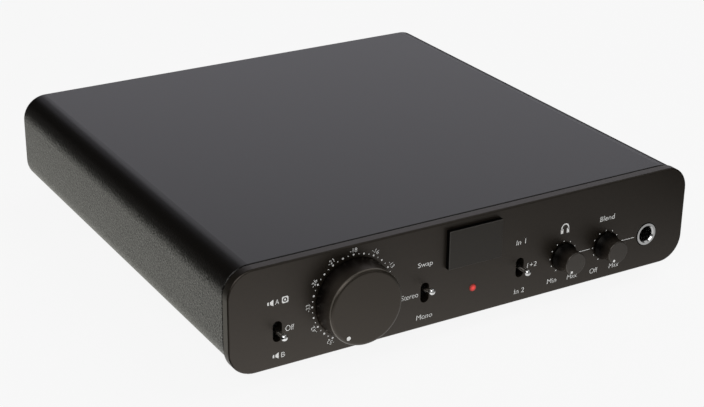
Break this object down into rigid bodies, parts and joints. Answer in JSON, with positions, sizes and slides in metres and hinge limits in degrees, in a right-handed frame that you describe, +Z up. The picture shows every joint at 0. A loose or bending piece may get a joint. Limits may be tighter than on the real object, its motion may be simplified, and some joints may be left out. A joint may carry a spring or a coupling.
{
  "type": "studio monitor controller",
  "caption": "Desktop box that sets the level, source and speaker pair in a studio, with a large volume knob, small level knobs, toggles and a headphone jack.",
  "frame": {"origin": "on the surface it stands on, under the middle of the whole object", "axes": "+X to the right and +Z up as seen from the front; +Y from the front plate to the rear connectors"},
  "size_m": [0.21, 0.224, 0.0496],
  "materials": {
    "panel_black": "fine satin black anodised plate",
    "case_black": "fine-grained dark grey powder coat",
    "chassis_black": "semi-matt black powder coat",
    "knob_black": "black anodised, satin",
    "badge_black": "satin black, bare",
    "dot_white": "white paint fill",
    "chrome": "polished",
    "steel": "zinc plated",
    "black_steel": "black oxide",
    "jack_plastic": "moulded black",
    "rocker_plastic": "moulded black, polished",
    "led_red": "clear red lens, lit",
    "board": "green solder mask",
    "part_plastic": "moulded component body",
    "can": "sleeved can",
    "sink": "extruded, plain",
    "gold": "gold plated",
    "foot_rubber": "matt"
  },
  "bodies": {
    "root": {"badge_plate": "badge_black", "board_link_header": "part_plastic", "board_screws": "steel", "case_cover": "case_black", "chassis_tray": "chassis_black", "crossfeed_pot": "part_plastic", "filter_capacitors": "can", "foot_front_left": "foot_rubber", "foot_front_right": "foot_rubber", "foot_rear_left": "foot_rubber", "foot_rear_right": "foot_rubber", "front_board": "board", "front_board_spacers": "steel", "front_panel": "panel_black", "line_1_left_jack": "jack_plastic", "line_1_right_jack": "jack_plastic", "line_2_phono_block": "jack_plastic", "line_2_phono_shells": "gold", "main_board": "board", "main_board_standoffs": "steel", "mode_switch_body": "part_plastic", "op_amps": "part_plastic", "panel_screws": "black_steel", "phones_jack_body": "jack_plastic", "phones_jack_ring": "chrome", "phones_pot": "part_plastic", "power_inlet": "jack_plastic", "power_inlet_pin": "chrome", "power_led": "led_red", "power_switch_housing": "rocker_plastic", "rear_jack_nuts": "chrome", "rear_panel": "chassis_black", "regulator_heatsink": "sink", "source_switch_body": "part_plastic", "speaker_a_left_jack": "jack_plastic", "speaker_a_right_jack": "jack_plastic", "speaker_b_left_jack": "jack_plastic", "speaker_b_right_jack": "jack_plastic", "speaker_relays": "part_plastic", "speaker_switch_body": "part_plastic", "sub_jack": "jack_plastic", "switch_pivot_pins": "steel", "underside_screws": "black_steel", "voltage_regulators": "part_plastic", "volume_pot": "steel"},
    "volume_control": {"volume_knob": "knob_black", "volume_pointer": "dot_white", "volume_set_screw": "black_steel", "volume_shaft": "steel"},
    "phones_control": {"phones_knob": "knob_black", "phones_pointer": "dot_white", "phones_shaft": "steel"},
    "crossfeed_control": {"crossfeed_knob": "knob_black", "crossfeed_pointer": "dot_white", "crossfeed_shaft": "steel"},
    "speaker_toggle": {"speaker_switch_lever": "chrome"},
    "mode_toggle": {"mode_switch_lever": "chrome"},
    "source_toggle": {"source_switch_lever": "chrome"},
    "power_toggle": {"power_rocker": "rocker_plastic"}
  },
  "joints": [
    {"name": "volume_turn", "type": "hinge", "parent": "root", "child": "volume_control", "pos_m": [-0.0537, -0.10155, 0.0286], "axis": [0, 1, 0], "range_deg": [0, 300]},
    {"name": "phones_level_turn", "type": "hinge", "parent": "root", "child": "phones_control", "pos_m": [0.0433, -0.10155, 0.02245], "axis": [0, 1, 0], "range_deg": [0, 300]},
    {"name": "crossfeed_turn", "type": "hinge", "parent": "root", "child": "crossfeed_control", "pos_m": [0.0645, -0.10155, 0.02245], "axis": [0, 1, 0], "range_deg": [0, 300]},
    {"name": "speaker_select", "type": "hinge", "parent": "root", "child": "speaker_toggle", "pos_m": [-0.0853, -0.09555, 0.02245], "axis": [1, 0, 0], "range_deg": [-13.5, 13.5]},
    {"name": "mode_select", "type": "hinge", "parent": "root", "child": "mode_toggle", "pos_m": [-0.0221, -0.09555, 0.02245], "axis": [1, 0, 0], "range_deg": [0, 27]},
    {"name": "source_select", "type": "hinge", "parent": "root", "child": "source_toggle", "pos_m": [0.0221, -0.09555, 0.02245], "axis": [1, 0, 0], "range_deg": [-13.5, 13.5]},
    {"name": "power_switch", "type": "hinge", "parent": "root", "child": "power_toggle", "pos_m": [0.07239, 0.10075, 0.0264], "axis": [0, 0, 1], "range_deg": [0, 16]}
  ]
}
